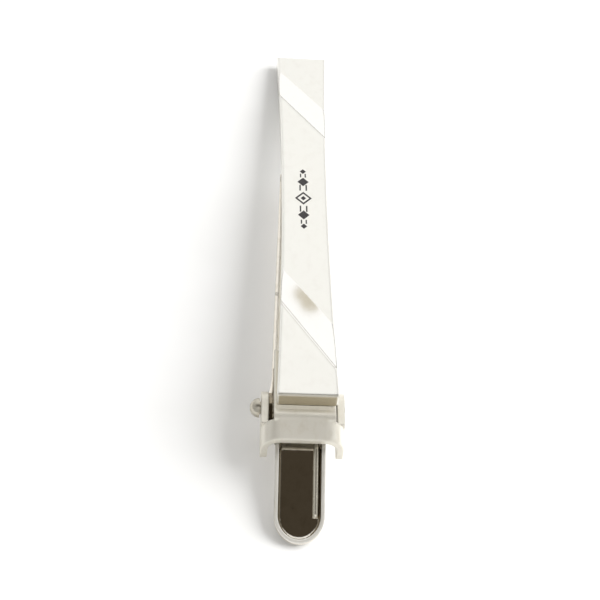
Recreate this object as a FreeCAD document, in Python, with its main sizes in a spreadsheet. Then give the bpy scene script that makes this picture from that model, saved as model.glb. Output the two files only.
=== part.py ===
import FreeCAD, Part
import math
import os

import Sketcher

# Spring-loaded tie clip: a bar with a bracket soldered to its back, and a sprung lever pinned in the bracket.
# Every piece is drawn in one shared bar frame: X across the bar, Y along it from the centre of the hinge-end face,
# Z out of the front face. The bar's first straight run is level in that frame, and each piece's own Placement then
# tips it about X into the attitude in which the clip lies on a table.

os.makedirs("parts", exist_ok=True)
Vector = FreeCAD.Vector
doc = FreeCAD.newDocument("tie_clip")
sheet = doc.addObject("Spreadsheet::Sheet", "Dims")

# Lengths in mm, angles in degrees.
DIMENSIONS = {
    "rest_tilt": 4.3,
    "hinge_offset": -0.34,  # of the whole hinge, along X
    # front bar
    "bar_length": 55.25,
    "bar_width": 6.0,
    "waist_width": 4.95,
    "bar_thick": 1.75,
    "bar_bend": 5.0,
    "straight_run": 8.0,  # at each end, either side of the bent middle
    "corner_round": 0.32,
    "front_round": 0.3,
    "back_bevel": 0.25,
    # slanting polished cuts in the front face
    "cut_slant": 57.7,
    "cut_width": 3.0,
    "cut_flank": 0.4,
    "cut_depth": 0.4,
    "near_cut_y": 10.35,
    "far_cut_y": 45.2,
    # solder seam
    "solder_thick": 0.06,
    "seam_side_gap": 0.3,
    "seam_end_gap": 0.15,
    # hinge bracket
    "sheet_thick": 0.7,
    "web_half": 3.0,
    "web_shift": 0.15,
    "leg_outer": 4.05,
    "shoulder_round": 1.9,
    "foot_length": 7.0,
    "bend_y": -0.85,
    "bend_round": 1.2,
    "notch_y": -1.3,
    "web_end_y": -3.1,
    "web_slope": 26.9,
    "leg_foot_z": -5.4,
    "heel_run": 0.45,
    "heel_rise": 0.35,
    "ear_radius": 1.6,
    "ear_neck_z": -1.95,
    # pivot
    "pin_y": 1.4,
    "pin_z": -3.15,
    "pin_radius": 0.5,
    "head_radius": 0.98,
    "head_height": 0.95,
    "neck_radius": 0.62,
    "neck_height": 0.15,
    "peen_radius": 0.72,
    "peen_height": 0.2,
    # lever; its Y and Z places are measured from the pivot
    "lever_shift": -0.15,
    "lever_thick": 0.35,
    "lever_half": 2.9,
    "lug_half": 3.15,
    "lug_front": 1.4,
    "lug_back": 1.5,
    "lug_radius": 1.25,
    "lever_bore": 0.55,
    "lever_round": 0.6,
    "tray_round": 0.4,
    "fold_depth": 1.55,
    "jaw_start": 3.0,
    "jaw_floor_depth": 1.4,
    "jaw_reach": 32.25,
    "jaw_tip_half": 2.1,
    "jaw_tip_rise": 1.525,
    "jaw_tip_depth": 0.94,
    "jaw_lip": 0.4,
    "tongue_half": 2.42,
    "tongue_neck": 3.5,
    "tongue_angle": 24.3,
    "tongue_reach": 13.25,
    "tongue_depth": 0.95,
    "tray_start": 3.9,
    "hole_y": 14.6,
    "hole_z": 0.68,
    "hole_radius": 0.2,
    "tooth_pitch": 0.9,
    "tooth_half": 0.28,
    "tooth_depth": 0.3,
    # bracket's end edges
    "edge_break": 0.12,
    # spring
    "wire_dia": 0.5,
    "coil_radius": 0.8,
    "coil_pitch": 0.74,
    "coil_turns": 4.0,
    "leg_x": 1.4,
    "leg_end": 10.7,
    "leg_bend": 1.0,
    "leg_gap": 0.05,
}


class Dim:
    """A number together with the sheet expression that gives it."""

    def __init__(self, value, text):
        self.value, self.text = value, text

    @staticmethod
    def of(x):
        return x if isinstance(x, Dim) else Dim(float(x), "(%.6g)" % x)

    def __add__(self, other):
        other = Dim.of(other)
        return Dim(self.value + other.value, "(%s + %s)" % (self.text, other.text))

    def __sub__(self, other):
        other = Dim.of(other)
        return Dim(self.value - other.value, "(%s - %s)" % (self.text, other.text))

    def __mul__(self, other):
        other = Dim.of(other)
        return Dim(self.value * other.value, "(%s * %s)" % (self.text, other.text))

    def __truediv__(self, other):
        other = Dim.of(other)
        return Dim(self.value / other.value, "(%s / %s)" % (self.text, other.text))

    def __neg__(self):
        return Dim(-self.value, "(0 - %s)" % self.text)

    def __rmul__(self, other):
        return Dim.of(other) * self

    def __rsub__(self, other):
        return Dim.of(other) - self


class dims:
    """The driving dimensions, each a Dim under its sheet alias."""


for row, (name, value) in enumerate(DIMENSIONS.items(), 1):
    sheet.set("A%d" % row, name)
    sheet.set("B%d" % row, "%g" % value)
    sheet.setAlias("B%d" % row, name)
    setattr(dims, name, Dim(value, "Dims." + name))
doc.recompute()


def sind(angle):
    return Dim(math.sin(math.radians(angle.value)), "sin(%s * 1 deg)" % angle.text)


def cosd(angle):
    return Dim(math.cos(math.radians(angle.value)), "cos(%s * 1 deg)" % angle.text)


def tand(angle):
    return Dim(math.tan(math.radians(angle.value)), "tan(%s * 1 deg)" % angle.text)


def arc_radius(half_chord, rise):
    return (half_chord * half_chord + rise * rise) / (2 * rise)


# ---------------------------------------------------------------- sketches and features
CLOCKWISE, COUNTER = -1, 1
THROUGH = 200  # length of a cut that passes right through any piece


def drive(obj, path, dim):
    """Binds a property to the sheet, unless its value is a plain constant."""
    if "Dims." in dim.text:
        obj.setExpression(path, dim.text)


def origin_plane(body, plane):
    return [f for f in body.Origin.OriginFeatures if f.Role == plane + "_Plane"][0]


def new_body(name):
    return doc.addObject("PartDesign::Body", name)


def new_sketch(body, name, plane, base=(0, 0, 0), turn=FreeCAD.Rotation()):
    """A sketch on one of the body's origin planes, moved by base in the plane's own axes and turned."""
    sketch = body.newObject("Sketcher::SketchObject", name)
    sketch.AttachmentSupport = [(origin_plane(body, plane), "")]
    sketch.MapMode = "FlatFace"
    base = [Dim.of(b) for b in base]
    sketch.AttachmentOffset = FreeCAD.Placement(Vector(*[b.value for b in base]), turn)
    for axis, b in zip("xyz", base):
        drive(sketch, "AttachmentOffset.Base." + axis, b)
    return sketch


def constrain(sketch, kind, target, dim):
    dim = Dim.of(dim)
    index = sketch.addConstraint(Sketcher.Constraint(kind, *target, dim.value))
    drive(sketch, "Constraints[%d]" % index, dim)


def flat_vector(point):
    return Vector(Dim.of(point[0]).value, Dim.of(point[1]).value, 0)


def outline(sketch, points):
    """A closed outline. A point is (x, y) or (x, y, (cx, cy), turn): the run to the next point is then an arc about
    (cx, cy), counter-clockwise for turn 1 and clockwise for -1."""
    count, first = len(points), sketch.GeometryCount
    corners = [flat_vector(p) for p in points]
    ends = []  # each run's start and end, as the sketcher's point numbers
    for i, point in enumerate(points):
        here, following = corners[i], corners[(i + 1) % count]
        if len(point) == 2:
            sketch.addGeometry(Part.LineSegment(here, following), False)
            ends.append((1, 2))
            continue
        centre = flat_vector(point[2])
        counter = point[3] > 0
        start, end = (here, following) if counter else (following, here)
        start_angle = math.atan2(start.y - centre.y, start.x - centre.x)
        end_angle = math.atan2(end.y - centre.y, end.x - centre.x)
        if end_angle <= start_angle:
            end_angle += 2 * math.pi
        circle = Part.Circle(centre, Vector(0, 0, 1), (start - centre).Length)
        sketch.addGeometry(Part.ArcOfCircle(circle, start_angle, end_angle), False)
        ends.append((1, 2) if counter else (2, 1))
    for i in range(count):
        j = (i + 1) % count
        sketch.addConstraint(
            Sketcher.Constraint("Coincident", first + i, ends[i][1], first + j, ends[j][0])
        )
    for i, point in enumerate(points):
        constrain(sketch, "DistanceX", (first + i, ends[i][0]), point[0])
        constrain(sketch, "DistanceY", (first + i, ends[i][0]), point[1])
    for i, point in enumerate(points):
        if len(point) > 2:
            # the centre lies on the chord's bisector, so one of its coordinates fixes it
            chord = corners[(i + 1) % count] - corners[i]
            if abs(chord.x) < abs(chord.y):
                constrain(sketch, "DistanceX", (first + i, 3), point[2][0])
            else:
                constrain(sketch, "DistanceY", (first + i, 3), point[2][1])


def ring(sketch, x, y, radius):
    circle = Part.Circle(flat_vector((x, y)), Vector(0, 0, 1), radius.value)
    index = sketch.addGeometry(circle, False)
    constrain(sketch, "DistanceX", (index, 3), x)
    constrain(sketch, "DistanceY", (index, 3), y)
    constrain(sketch, "Radius", (index,), radius)


def extrude(body, kind, name, sketch, length, both_ways=True):
    feature = body.newObject("PartDesign::" + kind, name)
    feature.Profile = sketch
    length = Dim.of(length)
    feature.Length = length.value
    drive(feature, "Length", length)
    if both_ways:
        # the property's name depends on the FreeCAD version
        if hasattr(feature, "SideType"):
            feature.SideType = "Symmetric"
        else:
            feature.Midplane = True
    return feature


def pad(body, name, sketch, length, both_ways=True):
    return extrude(body, "Pad", name, sketch, length, both_ways)


def cut_through(body, name, sketch):
    extrude(body, "Pocket", name, sketch, THROUGH)


def dress(body, name, kind, dim, wanted):
    """A fillet or chamfer on the tip's edges that wanted() picks."""
    doc.recompute()
    tip = body.Tip
    edges = ["Edge%d" % i for i, edge in enumerate(tip.Shape.Edges, 1) if wanted(edge)]
    feature = body.newObject("PartDesign::" + kind, name)
    feature.Base = (tip, edges)
    path = "Radius" if kind == "Fillet" else "Size"
    setattr(feature, path, dim.value)
    drive(feature, path, dim)


def middle(edge):
    return edge.valueAt((edge.FirstParameter + edge.LastParameter) / 2)


def is_line(edge):
    return edge.Curve.TypeId == "Part::GeomLine"


def runs_across(edge, slack=1e-3):
    """Whether the edge is a straight line along X."""
    return is_line(edge) and abs(abs(edge.Curve.Direction.x) - 1) < slack


def place(obj, across=dims.hinge_offset):
    """Tips the piece to the rest attitude and shifts it along X."""
    obj.Placement = FreeCAD.Placement(
        Vector(Dim.of(across).value, 0, 0),
        FreeCAD.Rotation(Vector(-1, 0, 0), dims.rest_tilt.value),
    )
    obj.setExpression("Placement.Rotation.Angle", "Dims.rest_tilt * 1 deg")
    drive(obj, "Placement.Base.x", Dim.of(across))


# ---------------------------------------------------------------- places that pieces share
bar_back = -dims.bar_thick / 2
foot_top = bar_back - dims.solder_thick
pin_y, pin_z = dims.pin_y, dims.pin_z


def rim(along, below=0):
    """A point on the tongue's rim line, a distance along it from the lug and a depth below it."""
    angle = dims.tongue_angle
    reach = dims.lug_radius - below
    return (
        pin_y - reach * sind(angle) - along * cosd(angle),
        pin_z + reach * cosd(angle) - along * sind(angle),
    )


def build_bar():
    """The front bar: two straight runs joined by a shallow arc, waisted in plan."""
    bar = new_body("front_bar")
    length, straight, bend = dims.bar_length, dims.straight_run, dims.bar_bend
    half_thick = dims.bar_thick / 2
    radius = (length - 2 * straight) / (bend * (math.pi / 180))
    centre = (straight, -radius)

    def arc_and_end(offset):
        """Where the surface at this offset from the middle one leaves its arc, and where it ends."""
        r = radius + offset
        y, z = straight + r * sind(bend), r * cosd(bend) - radius
        return (y, z), (y + straight * cosd(bend), z - straight * sind(bend))

    back_arc, back_end = arc_and_end(-half_thick)
    front_arc, front_end = arc_and_end(half_thick)
    sketch = new_sketch(bar, "bar_side", "YZ")
    outline(
        sketch,
        [
            (0, -half_thick),
            (straight, -half_thick, centre, CLOCKWISE),
            back_arc,
            back_end,
            front_end,
            (*front_arc, centre, COUNTER),
            (straight, half_thick),
            (0, half_thick),
        ],
    )
    pad(bar, "bar_blank", sketch, dims.bar_width)

    half, slim = dims.bar_width / 2, dims.waist_width / 2
    side_radius = arc_radius(length / 2, half - slim)
    margin = 2
    sketch = new_sketch(bar, "waist", "XY")
    for side in (1, -1):
        outline(
            sketch,
            [
                (side * half, 0, (side * (slim + side_radius), length / 2), -side),
                (side * half, length),
                (side * (half + margin), length),
                (side * (half + margin), 0),
            ],
        )
    cut_through(bar, "waist_cut", sketch)
    dress(
        bar, "corner_rounds", "Fillet", dims.corner_round,
        lambda edge: is_line(edge) and abs(edge.Curve.Direction.z) > 0.9 and edge.Length < 2,
    )

    def face_z(y, offset):
        """Height at y of the surface at this offset from the middle one."""
        if y <= straight.value:
            return offset
        (arc_y, arc_z), _ = arc_and_end(offset)
        if y <= arc_y.value:
            return math.sqrt((radius.value + offset) ** 2 - (y - straight.value) ** 2) - radius.value
        return arc_z.value - (y - arc_y.value) * tand(bend).value

    def around_face(offset, end_y):
        """Picks the edges round the face, leaving out the lines across it between its ends."""

        def wanted(edge):
            point = middle(edge)
            if abs(face_z(point.y, offset) - point.z) >= 0.01:
                return False
            return not runs_across(edge) or point.y < 0.01 or point.y > end_y - 0.01

        return wanted

    front = half_thick.value
    dress(bar, "front_edge_round", "Fillet", dims.front_round,
          around_face(front, front_end[0].value))
    dress(bar, "back_edge_bevel", "Chamfer", dims.back_bevel,
          around_face(-front, back_end[0].value))

    half_cut, flank, depth = dims.cut_width / 2, dims.cut_flank, dims.cut_depth
    flare, height = 0.3, 1.2  # the section's spread and rise clear of the face
    for label, y in (("near", dims.near_cut_y), ("far", dims.far_cut_y)):
        fall = math.degrees(
            math.atan(face_z(y.value - 0.5, front) - face_z(y.value + 0.5, front))
        )
        # the sketch stands across the cut: turned by the slant in plan, then leaned with the face's fall
        lean = FreeCAD.Rotation(Vector(0, 0, 1), -fall)
        turn = lean.multiply(FreeCAD.Rotation(Vector(0, 1, 0), -dims.cut_slant.value))
        base = (y, face_z(y.value, front), 0)
        sketch = new_sketch(bar, label + "_cut_section", "YZ", base, turn)
        outline(
            sketch,
            [
                (half_cut, 0),
                (half_cut + flare, height),
                (-half_cut - flare, height),
                (-half_cut, 0),
                (flank - half_cut, -depth),
            ],
        )
        cut_through(bar, label + "_cut", sketch)
    place(bar, across=0)
    return bar


def build_seam():
    """The solder between the bar's back and the bracket's foot, with a bead at the hinge end."""
    # y, and height above the bar's back face
    bead = [(-0.08, 0.07), (0.01, 0.13), (0.16, 0)]
    bead_end_y = -0.3
    seam = new_body("solder_seam")
    end_y = dims.foot_length - dims.seam_end_gap
    sketch = new_sketch(seam, "seam_side", "YZ")
    outline(
        sketch,
        [(end_y, bar_back), (end_y, foot_top), (bead_end_y, foot_top)]
        + [(y, bar_back + rise) for y, rise in bead],
    )
    pad(seam, "seam_pad", sketch, (dims.web_half - dims.seam_side_gap) * 2)
    place(seam)
    return seam


def build_bracket():
    """The sheet bracket: a foot under the bar, a sloping web, and two legs with ears for the pin."""
    bracket = new_body("hinge_bracket")
    thick, slope = dims.sheet_thick, dims.web_slope
    outer = dims.leg_outer
    inner = outer - thick
    notch_y, end_y, leg_z = dims.notch_y, dims.web_end_y, dims.leg_foot_z
    ear_radius = dims.ear_radius

    def web_top(y):
        return foot_top - (dims.bend_y - y) * tand(slope)

    # the saddle: an arch section carried down the slope
    top = web_top(notch_y)
    shoulder_x = outer - dims.shoulder_round
    shoulder_z = top - dims.shoulder_round
    left, right = (-shoulder_x, shoulder_z), (shoulder_x, shoulder_z)
    saddle_foot = leg_z - 1
    sketch = new_sketch(bracket, "saddle_section", "XZ", (0, 0, -notch_y))
    outline(
        sketch,
        [
            (-outer, saddle_foot),
            (-inner, saddle_foot),
            (-inner, shoulder_z, left, CLOCKWISE),
            (-shoulder_x, top - thick),
            (shoulder_x, top - thick, right, CLOCKWISE),
            (inner, shoulder_z),
            (inner, saddle_foot),
            (outer, saddle_foot),
            (outer, shoulder_z, right, COUNTER),
            (shoulder_x, top),
            (-shoulder_x, top, left, COUNTER),
            (-outer, shoulder_z),
        ],
    )
    saddle = pad(bracket, "saddle", sketch, (notch_y - end_y) / cosd(slope), both_ways=False)
    saddle.UseCustomVector = True
    saddle.Direction = Vector(0, -cosd(slope).value, -sind(slope).value)
    saddle.AlongSketchNormal = False

    # the ears stand clear of the saddle's end above the legs, and grow out of the legs below
    ear_y = notch_y + 0.03
    root_y = notch_y - 0.3
    sketch = new_sketch(bracket, "ear_side", "YZ", (0, 0, inner))
    outline(
        sketch,
        [
            (root_y, shoulder_z - 0.5),
            (ear_y, shoulder_z - 0.3),
            (ear_y, dims.ear_neck_z),
            (pin_y, pin_z + ear_radius, (pin_y, pin_z), CLOCKWISE),
            (pin_y, pin_z - ear_radius),
            (root_y, leg_z - 0.3),
        ],
    )
    ear = pad(bracket, "ear", sketch, thick, both_ways=False)
    ears = bracket.newObject("PartDesign::Mirrored", "ears")
    ears.Originals = [ear]
    ears.MirrorPlane = (origin_plane(bracket, "YZ"), [""])
    bracket.Tip = ears

    # the underside of the ears and legs, with a bevelled heel
    heel_z = leg_z + dims.heel_rise
    clear_y, clear_z = end_y - 2, leg_z - 4
    sketch = new_sketch(bracket, "foot_line", "YZ")
    outline(
        sketch,
        [
            (pin_y, pin_z - ear_radius),
            (end_y + dims.heel_run, leg_z),
            (end_y, heel_z),
            (clear_y, heel_z),
            (clear_y, clear_z),
            (pin_y, clear_z),
        ],
    )
    cut_through(bracket, "foot_trim", sketch)

    # the foot and the bend, let into the saddle's end
    bend_outer = dims.bend_round
    bend_inner = bend_outer - thick
    bend_start = dims.bend_y + bend_outer * tand(slope / 2)
    bend_z = foot_top - bend_outer
    bend_centre = (bend_start, bend_z)
    lap_y = notch_y - 0.15
    meet_y = notch_y + 0.02
    sketch = new_sketch(bracket, "web_side", "YZ", (0, 0, dims.web_shift))
    outline(
        sketch,
        [
            (dims.foot_length, foot_top),
            (dims.foot_length, foot_top - thick),
            (bend_start, foot_top - thick, bend_centre, COUNTER),
            (bend_start - bend_inner * sind(slope), bend_z + bend_inner * cosd(slope)),
            (lap_y, web_top(lap_y) - thick - 0.02),
            (lap_y, web_top(lap_y) - 0.05),
            (meet_y, web_top(meet_y)),
            (bend_start - bend_outer * sind(slope), bend_z + bend_outer * cosd(slope),
             bend_centre, CLOCKWISE),
            (bend_start, foot_top),
        ],
    )
    pad(bracket, "web_plate", sketch, dims.web_half * 2)
    dress(
        bracket, "edge_rounds", "Fillet", dims.edge_break,
        lambda edge: abs(middle(edge).y - end_y.value) < 1e-3
        and middle(edge).z > leg_z.value + 0.5,
    )
    sketch = new_sketch(bracket, "ear_bore", "YZ")
    ring(sketch, pin_y, pin_z, dims.pin_radius)
    cut_through(bracket, "ear_bores", sketch)
    place(bracket)
    return bracket


def build_pin():
    """The pivot pin: a domed head on a neck at the -X end, a low peened dome at the +X end."""
    pin = new_body("pivot_pin")
    outer = dims.leg_outer
    head_x = -outer - dims.neck_height
    head_top = head_x - dims.head_height
    head_sphere = arc_radius(dims.head_radius, dims.head_height)
    peen_top = outer + dims.peen_height
    peen_sphere = arc_radius(dims.peen_radius, dims.peen_height)
    sketch = new_sketch(pin, "pin_half", "XY", (0, pin_y, pin_z))
    outline(
        sketch,
        [
            (head_top, 0, (head_top + head_sphere, 0), CLOCKWISE),
            (head_x, dims.head_radius),
            (head_x, dims.neck_radius),
            (-outer, dims.neck_radius),
            (-outer, dims.pin_radius),
            (outer, dims.pin_radius),
            (outer, dims.peen_radius, (peen_top - peen_sphere, 0), CLOCKWISE),
            (peen_top, 0),
        ],
    )
    turned = pin.newObject("PartDesign::Revolution", "pin_turned")
    turned.Profile = sketch
    turned.ReferenceAxis = (sketch, ["H_Axis"])
    turned.Angle = 360
    place(pin)
    return pin


# ---------------------------------------------------------------- clip lever
jaw_y = pin_y + dims.jaw_reach
jaw_z = pin_z + dims.jaw_tip_rise


def lever_floor(lift, overrun, tray_start, fold_back):
    """The lever's floor line from past the tongue's tip to the jaw's tip, raised by lift."""
    depth = dims.tongue_depth - lift
    return [
        rim(dims.tongue_reach + overrun, depth),
        rim(tray_start, depth),
        (pin_y - fold_back, pin_z - dims.fold_depth + lift),
        (pin_y + dims.jaw_start, pin_z - dims.jaw_floor_depth + lift),
        (jaw_y, jaw_z - dims.jaw_tip_depth + lift),
    ]


def trim_to_plan(body, prefix, inset):
    """Cuts away everything outside the lever's plan, drawn in by inset."""
    half, lug = dims.lever_half - inset, dims.lug_half - inset
    jaw_half, tongue = dims.jaw_tip_half - inset, dims.tongue_half - inset
    jaw_root = pin_y + dims.jaw_start
    lug_front, lug_back = pin_y + dims.lug_front, pin_y - dims.lug_back
    neck = pin_y - dims.tongue_neck
    jaw_end = jaw_y - inset
    tip_centre = rim(dims.tongue_reach)[0] + inset + tongue
    sketch = new_sketch(body, prefix + "_plan", "XY")
    outline(sketch, [(-6, -20), (6, -20), (6, 45), (-6, 45)])
    outline(
        sketch,
        [
            (half, jaw_root),
            (jaw_half, jaw_end),
            (-jaw_half, jaw_end),
            (-half, jaw_root),
            (-lug, lug_front),
            (-lug, lug_back),
            (-tongue, neck),
            (-tongue, tip_centre, (0, tip_centre), COUNTER),
            (tongue, tip_centre),
            (tongue, neck),
            (lug, lug_back),
            (lug, lug_front),
        ],
    )
    cut_through(body, prefix + "_trim", sketch)


def round_tray(body, name, radius, floor):
    """Rounds the tongue's edges where its floor meets its walls."""
    (far_y, far_z), (start_y, start_z) = [(y.value, z.value) for y, z in floor[:2]]
    run_y, run_z = far_y - start_y, far_z - start_z

    def wanted(edge):
        point = middle(edge)
        off = abs((point.y - start_y) * run_z - (point.z - start_z) * run_y)
        on_floor = off / math.hypot(run_y, run_z) < 0.01
        return on_floor and point.y < start_y and not runs_across(edge, 1e-2)

    dress(body, name, "Fillet", radius, wanted)


def build_lever_outer():
    outer = new_body("lever_outer")
    floor = lever_floor(lift=0, overrun=0.7, tray_start=dims.tray_start, fold_back=1.2)
    sketch = new_sketch(outer, "lever_side", "YZ")
    outline(
        sketch,
        [rim(0), rim(dims.tongue_reach + 0.7)]
        + floor
        + [
            (jaw_y, jaw_z),
            (jaw_y - 0.35, jaw_z),
            (jaw_y - 0.65, jaw_z - dims.jaw_lip),
            (pin_y + 3.2, pin_z + 0.3),
            (pin_y + 1, pin_z + 0.7),
        ],
    )
    pad(outer, "lever_blank", sketch, dims.lug_half * 2)
    sketch = new_sketch(outer, "lug_side", "YZ")
    ring(sketch, pin_y, pin_z, dims.lug_radius)
    pad(outer, "lugs", sketch, dims.lug_half * 2)
    trim_to_plan(outer, "lever", inset=0)
    round_tray(outer, "lever_rounds", dims.lever_round, floor)

    # the pin's bore, and a small hole through the jaw's walls
    sketch = new_sketch(outer, "lever_bore_side", "YZ")
    ring(sketch, pin_y, pin_z, dims.lever_bore)
    ring(sketch, pin_y + dims.hole_y, pin_z + dims.hole_z, dims.hole_radius)
    cut_through(outer, "lever_bores", sketch)

    # V-shaped gaps between gripping teeth at the jaw's lip
    sketch = new_sketch(outer, "teeth", "XZ", (0, 0, -(jaw_y - 0.5)))
    gap_top = jaw_z + 0.05
    for step in (-1.5, -0.5, 0.5, 1.5):
        x = step * dims.tooth_pitch
        outline(
            sketch,
            [
                (x - dims.tooth_half, gap_top),
                (x, jaw_z - dims.tooth_depth),
                (x + dims.tooth_half, gap_top),
            ],
        )
    gaps = extrude(outer, "Pocket", "tooth_gaps", sketch, 1.0, both_ways=False)
    gaps.Reversed = True
    return outer


def build_lever_inner():
    """The lever's hollow, one sheet thickness inside its outer shape."""
    inner = new_body("lever_inner")
    thick = dims.lever_thick
    floor = lever_floor(
        lift=thick, overrun=1.2, tray_start=dims.tray_start - 0.1, fold_back=1.15
    )
    top = pin_z + 5
    sketch = new_sketch(inner, "hollow_side", "YZ")
    outline(sketch, [(pin_y - 15, top)] + floor + [(jaw_y, top)])
    pad(inner, "hollow_blank", sketch, dims.lug_half * 2 + 1)
    trim_to_plan(inner, "hollow", inset=thick)
    round_tray(inner, "tray_rounds", dims.tray_round, floor)
    return inner


def build_lever():
    """The lever: a tongue to press on the -Y side of the pivot, a long jaw on the +Y side."""
    outer = build_lever_outer()
    inner = build_lever_inner()
    lever = doc.addObject("Part::Cut", "clip_lever")
    lever.Base = outer
    lever.Tool = inner
    place(lever, across=dims.hinge_offset + dims.lever_shift)
    return lever


# ---------------------------------------------------------------- torsion spring
def build_spring():
    """One wire: a long leg along the tongue's floor, the coil round the pin, a short leg under the web."""
    radius, wire_radius = dims.coil_radius.value, dims.wire_dia.value / 2
    # angles about the pin, from +Y towards +Z
    start = -90 - 2.7
    stop = 90 + 4.8 + 360 * dims.coil_turns.value
    start_x = dims.leg_x.value
    stop_x = start_x - dims.coil_pitch.value * (stop - start) / 360

    def on_coil(degrees, x):
        angle = math.radians(degrees)
        return Vector(x, pin_y.value + radius * math.cos(angle),
                      pin_z.value + radius * math.sin(angle))

    def tangent(degrees):
        angle = math.radians(degrees)
        return Vector(0, -math.sin(angle), math.cos(angle))

    def swept(path, first, along):
        profile = Part.Wire([Part.Circle(first, along, wire_radius).toShape()])
        return Part.Wire(path).makePipeShell([profile], True, False)

    # the long leg: straight along the tongue's floor, a bend over the floor's fold, straight on to the coil
    into = tangent(start)
    coil_start = on_coil(start, start_x)
    depth = dims.tongue_depth - dims.lever_thick - wire_radius - dims.leg_gap
    tip_y, tip_z = rim(dims.leg_end, depth)
    tip = Vector(start_x, tip_y.value, tip_z.value)
    upslope = Vector(0, cosd(dims.tongue_angle).value, sind(dims.tongue_angle).value)
    corner = tip + upslope * ((coil_start - tip).cross(into).x / upslope.cross(into).x)
    bend = dims.leg_bend.value
    setback = bend * math.tan(upslope.getAngle(into) / 2)
    bend_in, bend_out = corner - upslope * setback, corner + into * setback
    bend_centre = bend_in + Vector(0, upslope.z, -upslope.y) * bend
    bend_middle = bend_centre + (corner - bend_centre).normalize() * bend
    join = coil_start - into * 0.9
    leg = swept(
        [
            Part.makeLine(tip, bend_in),
            Part.Arc(bend_in, bend_middle, bend_out).toShape(),
            Part.makeLine(bend_out, join),
        ],
        tip, upslope,
    )

    # the coil and the short leg, through a point about every 15 degrees
    points = [join, coil_start - into * 0.45]
    steps = int((stop - start) / 15)
    for k in range(steps + 1):
        part = k / steps
        points.append(
            on_coil(start + (stop - start) * part, start_x + (stop_x - start_x) * part)
        )
    out_of = tangent(stop)
    coil_end = on_coil(stop, stop_x)
    for distance in (0.6, 1.4, 2.4, 3.2):
        points.append(coil_end + out_of * distance)
    curve = Part.BSplineCurve()
    curve.interpolate(Points=points, InitialTangent=into, FinalTangent=out_of)
    wire = leg.fuse(swept([curve.toShape()], join, into)).removeSplitter()
    if len(wire.Solids) == 1:
        wire = wire.Solids[0]
    spring = doc.addObject("Part::Feature", "torsion_spring")
    spring.Shape = wire
    place(spring)
    return spring


parts = [
    build_bar(),
    build_seam(),
    build_bracket(),
    build_pin(),
    build_lever(),
    build_spring(),
]
doc.recompute()

broken = [o.Name for o in doc.Objects if "Invalid" in o.State or "Error" in o.State]
for part in parts:
    if part.Shape.isNull() or not part.Shape.isValid() or not part.Shape.Solids:
        broken.append(part.Label)
if broken:
    raise SystemExit("broken objects: " + ", ".join(broken))
for part in parts:
    part.Shape.exportStep("parts/%s.step" % part.Label)
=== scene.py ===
# A spring clip: a slim satin bar along Y with its front face up, and a nickel lever hinged on a pin
# under the bar's near end, its tongue sloping down towards -Y. X runs across the clip, +Z is up.
# Bar frame: millimetres, Z out of the front face. Row frame: the CAD frame, metres, where the
# bar is tipped about X.
import math

import bpy
from mathutils import Matrix, Vector


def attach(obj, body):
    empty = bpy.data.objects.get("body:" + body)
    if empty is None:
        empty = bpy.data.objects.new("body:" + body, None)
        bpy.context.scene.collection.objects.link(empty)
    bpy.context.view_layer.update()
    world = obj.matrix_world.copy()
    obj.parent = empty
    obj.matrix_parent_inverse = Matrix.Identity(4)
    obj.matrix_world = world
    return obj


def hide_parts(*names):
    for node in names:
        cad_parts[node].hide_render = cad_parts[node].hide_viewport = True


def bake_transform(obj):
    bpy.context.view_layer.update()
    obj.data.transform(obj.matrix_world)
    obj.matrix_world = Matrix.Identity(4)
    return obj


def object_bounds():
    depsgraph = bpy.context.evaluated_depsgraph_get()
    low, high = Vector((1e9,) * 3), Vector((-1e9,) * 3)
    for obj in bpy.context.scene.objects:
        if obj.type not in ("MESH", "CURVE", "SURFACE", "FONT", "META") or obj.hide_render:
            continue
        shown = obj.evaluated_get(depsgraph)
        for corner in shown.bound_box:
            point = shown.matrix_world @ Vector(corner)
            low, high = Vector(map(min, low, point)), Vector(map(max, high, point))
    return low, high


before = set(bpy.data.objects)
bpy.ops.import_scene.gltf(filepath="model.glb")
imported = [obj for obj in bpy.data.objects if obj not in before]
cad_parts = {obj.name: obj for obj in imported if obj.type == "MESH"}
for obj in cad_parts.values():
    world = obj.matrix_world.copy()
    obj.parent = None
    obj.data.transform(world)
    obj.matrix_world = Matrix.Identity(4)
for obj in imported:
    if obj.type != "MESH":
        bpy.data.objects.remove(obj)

CAD_BOX = [list(map(float, corner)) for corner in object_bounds()]
scene = bpy.context.scene
MM = 0.001

# ------------------------------------------------------------------ dimensions, bar frame, mm
TIP = Matrix.Rotation(-math.radians(4.3), 4, "X")  # bar frame to row frame
UNTIP = TIP.inverted()

# bar: straight up to BEND_Y, then bent down round an arc
FRONT_Z = 0.875  # front face over the bar's middle line
BEND_Y = 8.0
BEND_RADIUS = 39.25 / math.radians(5.0)  # arc length over its angle

# slanting cuts across the front face
CUT_YS = (10.35, 45.2)
CUT_SLANT = math.radians(57.7)
CUT_HALF_WIDTH = 1.62
CUT_HALF_SPAN = 2.6

# lever
PIN_Y, PIN_Z = 1.4, -3.15
LEVER_X = -0.49
TONGUE_SLOPE = math.radians(24.3)
RIM_RISE = 1.25  # tongue's rim line over the pin's axis, square to the slope
TONGUE_Y = -1.5  # the tongue lies on the -Y side of this

# torsion spring, its x values measured from SPRING_X
SPRING_X = -0.34
WIRE_R, COIL_R, LEG_X, PITCH = 0.25, 0.8, 1.4, 0.74
COIL_START, COIL_STOP = -92.7, 94.8 + 4 * 360  # degrees round the pin
COIL_STOP_X = LEG_X - PITCH * (COIL_STOP - COIL_START) / 360

# ornament
ORNAMENT_X, ORNAMENT_Y = -0.16, 27.7
INK_TOP, INK_BOTTOM = 0.012, -0.01  # heights over the front face


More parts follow.
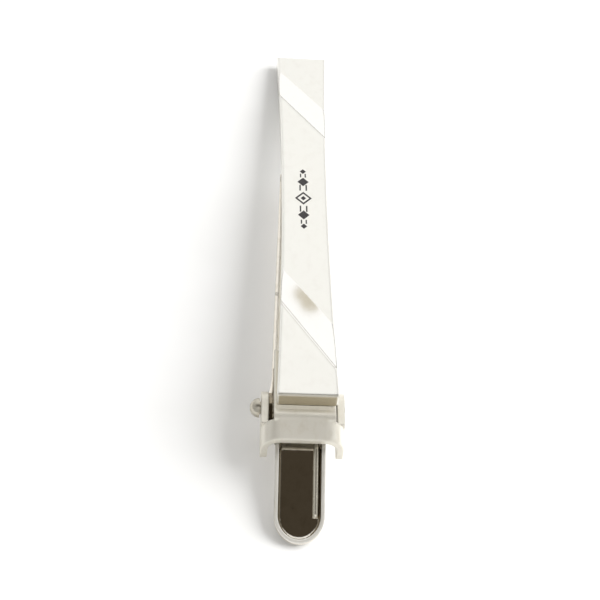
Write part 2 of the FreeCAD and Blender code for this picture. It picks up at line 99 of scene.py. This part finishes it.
# ------------------------------------------------------------------ node helpers
class Net:
    """A small builder for a node tree."""

    def __init__(self, tree):
        self.tree = tree
        tree.nodes.clear()

    def add(self, kind, **values):
        node = self.tree.nodes.new(kind)
        for key, value in values.items():
            setattr(node, key, value)
        return node

    def put(self, socket, value):
        """Links a socket, or sets a plain value."""
        if isinstance(value, bpy.types.NodeSocket):
            self.tree.links.new(value, socket)
        else:
            socket.default_value = value

    def calc(self, operation, *values, clamp=False):
        node = self.add("ShaderNodeMath", operation=operation, use_clamp=clamp)
        for socket, value in zip(node.inputs, values):
            self.put(socket, value)
        return node.outputs[0]

    def plus(self, a, b, clamp=False):
        return self.calc("ADD", a, b, clamp=clamp)

    def times(self, a, b):
        return self.calc("MULTIPLY", a, b)

    def swing(self, value, amount):
        """A 0..1 value as -amount..amount."""
        return self.times(self.calc("SUBTRACT", value, 0.5), amount * 2)

    def dot(self, a, b):
        node = self.add("ShaderNodeVectorMath", operation="DOT_PRODUCT")
        self.put(node.inputs[0], a)
        self.put(node.inputs[1], b)
        return node.outputs["Value"]

    def span(self, value, start, stop, lo=0.0, hi=1.0):
        """Eases value from start..stop to lo..hi, held at both ends."""
        node = self.add("ShaderNodeMapRange", clamp=True, interpolation_type="SMOOTHSTEP")
        self.put(node.inputs["Value"], value)
        self.put(node.inputs["From Min"], start)
        self.put(node.inputs["From Max"], stop)
        self.put(node.inputs["To Min"], lo)
        self.put(node.inputs["To Max"], hi)
        return node.outputs["Result"]

    def mix(self, factor, a, b):
        node = self.add("ShaderNodeMix", data_type="RGBA")
        self.put(node.inputs[0], factor)
        self.put(node.inputs[6], a)
        self.put(node.inputs[7], b)
        return node.outputs[2]

    def noise(self, coord, scale=1.0, detail=2.0, rough=0.5, stretch=(1, 1, 1), seed=0.0):
        mapping = self.add("ShaderNodeMapping")
        self.put(mapping.inputs["Vector"], coord)
        mapping.inputs["Scale"].default_value = [s * scale for s in stretch]
        mapping.inputs["Location"].default_value = (seed * 3.1, seed * 1.7, seed * 2.3)
        node = self.add("ShaderNodeTexNoise", noise_dimensions="3D")
        self.put(node.inputs["Vector"], mapping.outputs[0])
        node.inputs["Scale"].default_value = 1.0
        node.inputs["Detail"].default_value = detail
        node.inputs["Roughness"].default_value = rough
        return node.outputs["Fac"]

    def object_mm(self):
        """Object coordinates in millimetres."""
        coord = self.add("ShaderNodeTexCoord")
        scale = self.add("ShaderNodeVectorMath", operation="SCALE")
        self.put(scale.inputs[0], coord.outputs["Object"])
        scale.inputs["Scale"].default_value = 1000.0
        return scale.outputs[0]

    def bump(self, height, depth):
        """A bump node, its depth in mm."""
        node = self.add("ShaderNodeBump")
        node.inputs["Distance"].default_value = depth * MM
        self.put(node.inputs["Height"], height)
        return node

    def bevel(self, radius):
        """A normal softened over edges, radius in mm."""
        node = self.add("ShaderNodeBevel", samples=6)
        node.inputs["Radius"].default_value = radius * MM
        return node.outputs[0]


def new_material(name):
    """An empty surface: the material, its net and the shader's inputs."""
    material = bpy.data.materials.new(name)
    material.use_nodes = True
    net = Net(material.node_tree)
    output = net.add("ShaderNodeOutputMaterial")
    shader = net.add("ShaderNodeBsdfPrincipled")
    net.put(output.inputs["Surface"], shader.outputs[0])
    return material, net, shader.inputs


def rgb(*levels):
    """An sRGB colour (0-255) as linear values."""
    def linear(level):
        level /= 255
        return level / 12.92 if level <= 0.04045 else ((level + 0.055) / 1.055) ** 2.4
    return (*map(linear, levels), 1.0)


# ------------------------------------------------------------------ metals
SPECK_COLOUR = (0.10, 0.085, 0.06, 1.0)


def metal(name, colour, rough, grain, grain_bump, grain_rough, patch, wear, depth,
          tint=None, edge=0.0, painted_edge_shade=None, speck=0.0, metallic=1.0):
    """A worked metal: stretched grain, uneven polish, fine scratches and rubbed patches.

    grain: noise scale per axis; grain_bump, grain_rough: its share of height and roughness
    patch: broad swing of roughness; wear: strength of the dull patches, coloured tint
    depth: bump depth, mm; edge: rounding of edges, mm, and the width of the painted shade laid along
    them in the edge colour; speck: dark dots
    """
    material, g, surface = new_material(name)
    mm = g.object_mm()
    fine = g.noise(mm, detail=4.0, rough=0.65, stretch=grain, seed=1.0)
    broad = g.noise(mm, scale=0.35, detail=3.0, seed=2.0)
    cloud = g.noise(mm, scale=1.3, detail=4.0, rough=0.6, stretch=(1, 0.6, 1), seed=3.0)
    scratch = g.span(g.noise(mm, stretch=(2.2, 14.0, 2.2), seed=4.0), 0.66, 0.74)

    roughness = g.plus(rough, g.swing(broad, patch))
    roughness = g.plus(roughness, g.swing(fine, grain_rough))
    roughness = g.plus(roughness, g.times(scratch, 0.05), clamp=True)
    g.put(surface["Roughness"], roughness)

    dull = g.times(g.span(cloud, 0.45, 0.75), wear)
    shade = g.mix(dull, colour, tint or tuple(c * 0.82 for c in colour[:3]) + (1.0,))
    if speck:
        dots = g.noise(mm, scale=5.5, seed=6.0)
        shade = g.mix(g.times(g.span(dots, 0.70, 0.76), speck), shade, SPECK_COLOUR)
    if painted_edge_shade:
        # painted shade along the edges: an edge is where the softened normal turns away from the
        # true one
        soft = g.bevel(edge)
        geometry = g.add("ShaderNodeNewGeometry")
        painted_edge_amount = g.span(g.dot(soft, geometry.outputs["Normal"]), 0.999, 0.93)
        shade = g.mix(painted_edge_amount, shade, painted_edge_shade)
    g.put(surface["Base Color"], shade)
    g.put(surface["Metallic"], metallic)

    scratch_height = 0.25 * max(0.08, grain_bump)
    height = g.plus(g.times(fine, grain_bump), g.times(scratch, scratch_height))
    height = g.plus(height, g.times(broad, 0.12))
    bump = g.bump(height, depth)
    if edge:
        g.put(bump.inputs["Normal"], g.bevel(edge))
    g.put(surface["Normal"], bump.outputs[0])
    return material


# satin bar; its edge colour is painted shade, grey lines along the edges
SATIN = metal(
    "satin_bar", rgb(247, 246, 241), rough=0.34, grain=(14.0, 0.5, 14.0), grain_bump=0.9,
    grain_rough=0.10, patch=0.03, wear=0.22, depth=0.006, tint=rgb(232, 229, 222),
    edge=0.22, painted_edge_shade=rgb(208, 206, 197))
# the bar's end face: filed grain, and a darker brown colour that is painted shade
FILED_END_PAINTED_SHADE = metal(
    "filed_end_painted_shade", rgb(180, 171, 150), rough=0.30, grain=(1.2, 12.0, 12.0), grain_bump=0.9,
    grain_rough=0.08, patch=0.03, wear=0.25, depth=0.006, edge=0.08)
# the near end's front bevel: the satin in a darker copy, painted shade
BEVEL_PAINTED_SHADE = metal(
    "broken_edge_painted_shade", rgb(222, 218, 206), rough=0.32, grain=(1.2, 9.0, 9.0), grain_bump=0.9,
    grain_rough=0.08, patch=0.03, wear=0.25, depth=0.006, edge=0.26)
# polished cuts; their edge colour is painted shade, a dark line along the cuts' edges
POLISH = metal(
    "polished_cut", rgb(252, 251, 249), rough=0.04, grain=(6.0, 6.0, 6.0), grain_bump=0.05,
    grain_rough=0.012, patch=0.01, wear=0.10, depth=0.003,
    edge=0.14, painted_edge_shade=rgb(168, 166, 156))
# a darker copy of the nickel for the tongue's inner walls and the lugs: painted shade
NICKEL_IN_PAINTED_SHADE = metal(
    "shaded_nickel", rgb(152, 142, 124), rough=0.14, grain=(8.0, 1.5, 8.0), grain_bump=0.4,
    grain_rough=0.04, patch=0.04, wear=0.3, depth=0.004, tint=rgb(120, 108, 88),
    edge=0.10, speck=0.4)
# the tongue's rim tops: a brighter, less metallic copy of the nickel, painted highlight
RIM_PAINTED_HIGHLIGHT = metal(
    "rim_painted_highlight", rgb(250, 247, 240), rough=0.20, grain=(6.0, 3.0, 6.0), grain_bump=0.5,
    grain_rough=0.06, patch=0.05, wear=0.35, depth=0.004, tint=rgb(206, 198, 178),
    edge=0.17, metallic=0.55)
NICKEL = metal(
    "nickel_lever", rgb(234, 229, 220), rough=0.07, grain=(10.0, 0.8, 10.0), grain_bump=0.25,
    grain_rough=0.03, patch=0.03, wear=0.25, depth=0.003, tint=rgb(196, 184, 160),
    edge=0.17, speck=0.5)
PLATE = metal(
    "satin_bracket", rgb(233, 229, 218), rough=0.36, grain=(1.5, 9.0, 9.0), grain_bump=0.8,
    grain_rough=0.08, patch=0.05, wear=0.35, depth=0.008, tint=rgb(214, 206, 188),
    edge=0.22, metallic=0.62)
RIVET = metal(
    "rivet_steel", rgb(200, 195, 182), rough=0.34, grain=(5.0, 5.0, 5.0), grain_bump=0.5,
    grain_rough=0.04, patch=0.05, wear=0.35, depth=0.010, tint=rgb(168, 154, 128), edge=0.03)
WIRE = metal(
    "spring_wire", rgb(236, 231, 216), rough=0.22, grain=(3.0, 3.0, 3.0), grain_bump=0.12,
    grain_rough=0.03, patch=0.02, wear=0.2, depth=0.003, metallic=0.85)
SOLDER = metal(
    "solder_fillet", rgb(226, 220, 204), rough=0.38, grain=(4.0, 4.0, 4.0), grain_bump=1.0,
    grain_rough=0.10, patch=0.08, wear=0.4, depth=0.012, metallic=0.4)


# ------------------------------------------------------------------ finishes, painted shade and painted highlights on the CAD pieces
def dress(node, *materials):
    """Gives a CAD piece its materials, the first on every face."""
    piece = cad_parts[node]
    piece.data.materials.clear()
    for material in materials:
        piece.data.materials.append(material)
    for face in piece.data.polygons:
        face.material_index = 0
    return piece


def faces_in_bar_frame(piece):
    """Each face with its normal and centre in the bar frame."""
    turn = UNTIP.to_3x3()
    for face in piece.data.polygons:
        yield face, turn @ face.normal, [v / MM for v in UNTIP @ face.center]


def in_a_cut(normal, x, y):
    """Whether a face leans off the front face and lies within a slanting cut."""
    lean_x, lean_y = abs(normal.x), abs(normal.y)
    if normal.z <= 0.25 or lean_x <= 0.06 or (lean_x >= 0.5 and lean_y <= 0.1):
        return False
    return abs(x) < CUT_HALF_SPAN and any(
        abs((y - cut_y) * math.cos(CUT_SLANT) + x * math.sin(CUT_SLANT)) < CUT_HALF_WIDTH
        for cut_y in CUT_YS)


def dress_bar():
    bar_finishes_with_painted_shade = (SATIN, POLISH, FILED_END_PAINTED_SHADE, BEVEL_PAINTED_SHADE)
    for face, normal, (x, y, z) in faces_in_bar_frame(dress("front_bar", *bar_finishes_with_painted_shade)):
        if in_a_cut(normal, x, y):
            face.material_index = 1
        # the end face takes the darker copy: painted shade
        elif normal.y < -0.9:
            face.material_index = 2
        # the near end's front bevel takes its darker copy: painted shade
        elif normal.y < -0.35 and y < 0.6 and z > 0:
            face.material_index = 3


def dress_lever():
    for face, normal, (x, y, z) in faces_in_bar_frame(dress("clip_lever", NICKEL, RIM_PAINTED_HIGHLIGHT, NICKEL_IN_PAINTED_SHADE)):
        # how far the face lies below the tongue's rim line
        fall = RIM_RISE - ((z - PIN_Z) * math.cos(TONGUE_SLOPE)
                           - (y - PIN_Y) * math.sin(TONGUE_SLOPE))
        on_tongue = y < TONGUE_Y
        faces_in = abs(normal.x) > 0.3 and normal.x * (x - LEVER_X) < 0
        # rim tops take the brighter copy: painted highlight
        if on_tongue and abs(fall) < 0.04 and normal.z > 0.8:
            face.material_index = 1
        # the tongue's inner walls take the darker copy: painted shade
        elif on_tongue and 0.04 <= fall < 0.75 and faces_in:
            face.material_index = 2
        # the lugs beside the pin, also in the darker copy: painted shade
        elif TONGUE_Y < y < 3.2 and abs(x - LEVER_X) > 2.3:
            face.material_index = 2


dress_bar()
dress("solder_seam", SOLDER)
dress("hinge_bracket", PLATE)
dress("pivot_pin", RIVET)
dress("torsion_spring", WIRE)
dress_lever()


# ------------------------------------------------------------------ mesh helpers
def to_row(x, y, z):
    """Bar-frame millimetres to row-frame metres."""
    return (TIP @ Vector((x, y, z))) * MM


def mesh_object(name, verts, faces, material, smooth=False):
    mesh = bpy.data.meshes.new(name)
    mesh.from_pydata([tuple(v) for v in verts], [], faces)
    mesh.validate()
    mesh.update()
    mesh.materials.append(material)
    for face in mesh.polygons:
        face.use_smooth = smooth
    thing = bpy.data.objects.new(name, mesh)
    scene.collection.objects.link(thing)
    return thing


# ------------------------------------------------------------------ ornament: lozenges and dashes
def ink_material():
    material, g, surface = new_material("ornament_ink")
    mottle = g.noise(g.object_mm(), scale=7.0, detail=3.0, rough=0.6)
    tone = g.mix(g.span(mottle, 0.35, 0.75), rgb(26, 24, 26), rgb(62, 60, 62))
    g.put(surface["Base Color"], tone)
    g.put(surface["Roughness"], g.span(mottle, 0.3, 0.7, lo=0.35, hi=0.6))
    g.put(surface["Normal"], g.bump(mottle, depth=0.002).outputs[0])
    return material


def front_z(y):
    """Height of the front face at y, within the bend."""
    radius = BEND_RADIUS + FRONT_Z
    return radius * math.cos(math.asin((y - BEND_Y) / radius)) - BEND_RADIUS


# Outlines are lists of (x, y), x from the ornament's middle line.
def lozenge(y, half_width, half_length):
    return [(half_width, y), (0, y + half_length), (-half_width, y), (0, y - half_length)]


def lozenge_frame(y, half_width, half_length, band):
    """A hollow lozenge as four strips."""
    shrink = 1 - band / half_width
    outer = lozenge(y, half_width, half_length)
    inner = lozenge(y, half_width * shrink, half_length * shrink)
    return [[outer[i], outer[i - 3], inner[i - 3], inner[i]] for i in range(4)]


def dash_pair(y, length, half_width, offset):
    """Two dashes along the bar, offset to either side."""
    low, high = y - length / 2, y + length / 2
    return [[(x + half_width, low), (x + half_width, high),
             (x - half_width, high), (x - half_width, low)] for x in (-offset, offset)]


def build_ornament():
    outlines = lozenge_frame(ORNAMENT_Y, half_width=0.92, half_length=1.05, band=0.26)
    outlines.append(lozenge(ORNAMENT_Y, half_width=0.30, half_length=0.36))
    for way in (1, -1):
        outlines += dash_pair(ORNAMENT_Y + way * 1.75, length=0.95, half_width=0.08, offset=0.34)
        outlines.append(lozenge(ORNAMENT_Y + way * 2.75, half_width=0.62, half_length=0.72))
        outlines += dash_pair(ORNAMENT_Y + way * 3.85, length=0.62, half_width=0.07, offset=0.26)
        outlines.append(lozenge(ORNAMENT_Y + way * 4.55, half_width=0.34, half_length=0.40))

    # each outline is a thin slab, sunk a little into the metal
    verts, faces = [], []
    for outline in outlines:
        top, count = len(verts), len(outline)
        under = top + count
        for height in (INK_TOP, INK_BOTTOM):
            verts += [to_row(ORNAMENT_X + x, y, front_z(y) + height) for x, y in outline]
        faces.append([top + i for i in range(count)])
        faces.append([under + i for i in reversed(range(count))])
        for i in range(count):
            j = (i + 1) % count
            faces.append([top + j, top + i, under + i, under + j])
    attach(mesh_object("ornament", verts, faces, ink_material()), "bar")


build_ornament()


# ------------------------------------------------------------------ torsion spring: one wire
TONGUE_REACH = 10.7  # wire's tip from the pin, down the slope
TIP_BELOW_RIM = 0.3
BAR_LEG = 3.2
COIL_STEP = 7.5  # degrees
RING = 20  # points round the wire
WIRE_END = [(0, 0.72), (0.02, 0.9), (0.07, 1.0)]  # (distance in from the end, share of radius)


def coil_at(degrees, x):
    """A point of the coil and its direction of winding."""
    turn = math.radians(degrees)
    point = Vector((x, PIN_Y + COIL_R * math.cos(turn), PIN_Z + COIL_R * math.sin(turn)))
    return point, Vector((0, -math.sin(turn), math.cos(turn)))


def spring_path():
    """The wire's middle line: leg under the tongue, bend, coil, leg under the bar."""
    sin, cos = math.sin(TONGUE_SLOPE), math.cos(TONGUE_SLOPE)
    rise = RIM_RISE - TIP_BELOW_RIM
    tip = Vector((LEG_X, PIN_Y - rise * sin - TONGUE_REACH * cos,
                  PIN_Z + rise * cos - TONGUE_REACH * sin))
    slope = Vector((0, cos, sin))
    base, into = coil_at(COIL_START, LEG_X)

    # the leg's line meets the coil's tangent at the corner
    gap = base - tip
    along = (gap.y * into.z - into.y * gap.z) / (slope.y * into.z - into.y * slope.z)
    corner = tip + slope * along
    setback = math.tan(slope.angle(into) / 2)  # as for a bend of 1 mm radius
    bend_in, bend_out = corner - slope * setback, corner + into * setback

    path = [tip.lerp(bend_in, k / 24) for k in range(24)]
    for k in range(9):
        path.append(bend_in.lerp(corner, k / 8).lerp(corner.lerp(bend_out, k / 8), k / 8))
    path += [bend_out.lerp(base - into * 0.35, k / 8) for k in range(1, 9)]
    sweep = COIL_STOP - COIL_START
    steps = int(sweep / COIL_STEP)
    for k in range(steps + 1):
        part = k / steps
        x = LEG_X + (COIL_STOP_X - LEG_X) * part
        path.append(coil_at(COIL_START + sweep * part, x)[0])
    base, out_of = coil_at(COIL_STOP, COIL_STOP_X)
    return path + [base + out_of * (BAR_LEG * k / 8) for k in range(1, 9)]


def build_spring():
    path = spring_path()
    first, last = (path[1] - path[0]).normalized(), (path[-1] - path[-2]).normalized()
    # (point, share of radius, direction)
    stations = [(path[0] + first * inset, share, first) for inset, share in WIRE_END]
    for before, point, after in zip(path, path[1:], path[2:]):
        stations.append((point, 1.0, (after - before).normalized()))
    stations += [(path[-1] - last * inset, share, last) for inset, share in reversed(WIRE_END)]

    verts, faces = [], []
    side = Vector((1, 0, 0))
    for point, share, direction in stations:
        # carrying the side along keeps the rings from twisting
        side = (side - direction * side.dot(direction)).normalized()
        other = direction.cross(side)
        for q in range(RING):
            turn = 2 * math.pi * q / RING
            spoke = (side * math.cos(turn) + other * math.sin(turn)) * WIRE_R * share
            x, y, z = point + spoke
            verts.append(to_row(x + SPRING_X, y, z))
    end = (len(stations) - 1) * RING
    for ring in range(0, end, RING):
        for q in range(RING):
            r = (q + 1) % RING
            faces.append([ring + q, ring + r, ring + RING + r, ring + RING + q])
    faces.append(list(reversed(range(RING))))
    faces.append([end + q for q in range(RING)])

    spring = mesh_object("wound_spring", verts, faces, WIRE, smooth=True)
    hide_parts("torsion_spring")
    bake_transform(spring)


build_spring()


# ------------------------------------------------------------------ studio, metres
def build_floor():
    """A white table just under the clip."""
    low = CAD_BOX[0][2]
    bpy.ops.mesh.primitive_plane_add(size=6.0, location=(0, 0.03, low - 0.00002))
    floor = bpy.context.object
    floor.name = "studio_floor"
    material, g, surface = new_material("white_table")
    coord = g.add("ShaderNodeTexCoord")
    cloud = g.noise(coord.outputs["Object"], scale=60.0, detail=3.0, seed=1.0)
    tone = g.mix(g.span(cloud, 0.3, 0.7), (0.90, 0.90, 0.895, 1), (0.93, 0.93, 0.93, 1))
    g.put(surface["Base Color"], tone)
    g.put(surface["Roughness"], 0.85)
    g.put(surface["Specular IOR Level"], 0.1)
    floor.data.materials.append(material)


# small brown spots in the sky beyond the clip, mirrored in the near cut:
# (direction, cosine at the outer rim, cosine where full)
SPOTS = [
    ((-0.1405, 0.60832, 0.78116), 0.999950, 0.999985),
    ((-0.14656, 0.61324, 0.77618), 0.999972, 0.999992),
]
SKY, DARK_BAND, BROWN = (1.0, 0.995, 0.975, 1.0), (0.055, 0.044, 0.030, 1.0), (0.42, 0.36, 0.22, 1.0)


def build_world():
    world = bpy.data.worlds.new("studio")
    scene.world = world
    world.use_nodes = True
    g = Net(world.node_tree)
    output = g.add("ShaderNodeOutputWorld")
    background = g.add("ShaderNodeBackground")
    g.put(output.inputs["Surface"], background.outputs[0])
    ray = g.add("ShaderNodeTexCoord").outputs["Generated"]

    # brightest overhead, a little towards +Y
    level = g.span(g.dot(ray, (0.0, 0.45, 0.89)), -0.3, 0.9, lo=0.50, hi=1.06)
    axes = g.add("ShaderNodeSeparateXYZ")
    g.put(axes.inputs[0], ray)
    x, y, z = axes.outputs

    # a dark band overhead, running along X
    off_band = g.calc("ABSOLUTE", g.plus(y, 0.05))
    band = g.times(g.span(z, 0.45, 0.72), g.span(off_band, 0.20, 0.36, lo=1.0, hi=0.0))
    band = g.times(band, g.span(g.calc("ABSOLUTE", x), 0.60, 0.85, lo=1.0, hi=0.0))
    sky = g.mix(band, SKY, DARK_BAND)
    spots = [g.span(g.dot(ray, Vector(aim).normalized()), rim, full) for aim, rim, full in SPOTS]
    spot = g.times(g.calc("MAXIMUM", *spots), 0.75)
    g.put(background.inputs["Color"], g.mix(spot, sky, BROWN))

    # dimmer to the left (-X) and right; matt surfaces see an evener sky than the mirroring metals
    left = g.span(x, -0.85, -0.25, lo=0.72, hi=1.0)
    right = g.span(x, 0.25, 0.85, lo=1.0, hi=0.64)
    sides = g.times(left, right)
    matt = g.times(g.add("ShaderNodeLightPath").outputs["Is Diffuse Ray"], 0.75)
    sides = g.plus(sides, g.times(matt, g.calc("SUBTRACT", 1.0, sides)))
    g.put(background.inputs["Strength"], g.times(level, sides))


def build_key():
    """A window on the right, hidden from reflections: it only casts the shadow and fills."""
    place, aim = Vector((0.325, 0.045, 0.21)), Vector((0, 0.02, -0.004))
    light = bpy.data.lights.new("key_window", "AREA")
    light.shape = "RECTANGLE"
    light.size, light.size_y = 0.28, 0.42
    light.energy = 2.35
    key = bpy.data.objects.new("key_window", light)
    scene.collection.objects.link(key)
    key.location = place
    key.rotation_euler = (aim - place).to_track_quat("-Z", "Y").to_euler()
    key.visible_glossy = False


def build_camera():
    """Looks along +Y and down, turned by azimuth, elevation and roll."""
    azimuth, elevation, roll = map(math.radians, (5.12, 52.085, 6.172))
    ahead = Vector((math.sin(azimuth) * math.cos(elevation),
                    math.cos(azimuth) * math.cos(elevation), -math.sin(elevation)))
    level_right = Vector((math.cos(azimuth), -math.sin(azimuth), 0))
    level_up = level_right.cross(ahead)
    right = level_right * math.cos(roll) + level_up * math.sin(roll)
    up = level_up * math.cos(roll) - level_right * math.sin(roll)
    lens = bpy.data.cameras.new("camera")
    lens.sensor_width = 36.0
    lens.lens = 77.928
    lens.clip_start = 0.005
    lens.clip_end = 5.0
    camera = bpy.data.objects.new("camera", lens)
    scene.collection.objects.link(camera)
    pose = Matrix((right, up, -ahead)).transposed().to_4x4()
    pose.translation = Vector((-7.941, -68.527, 104.080)) * MM
    camera.matrix_world = pose
    scene.camera = camera


build_floor()
build_world()
build_key()
build_camera()
scene.view_settings.view_transform = "Standard"
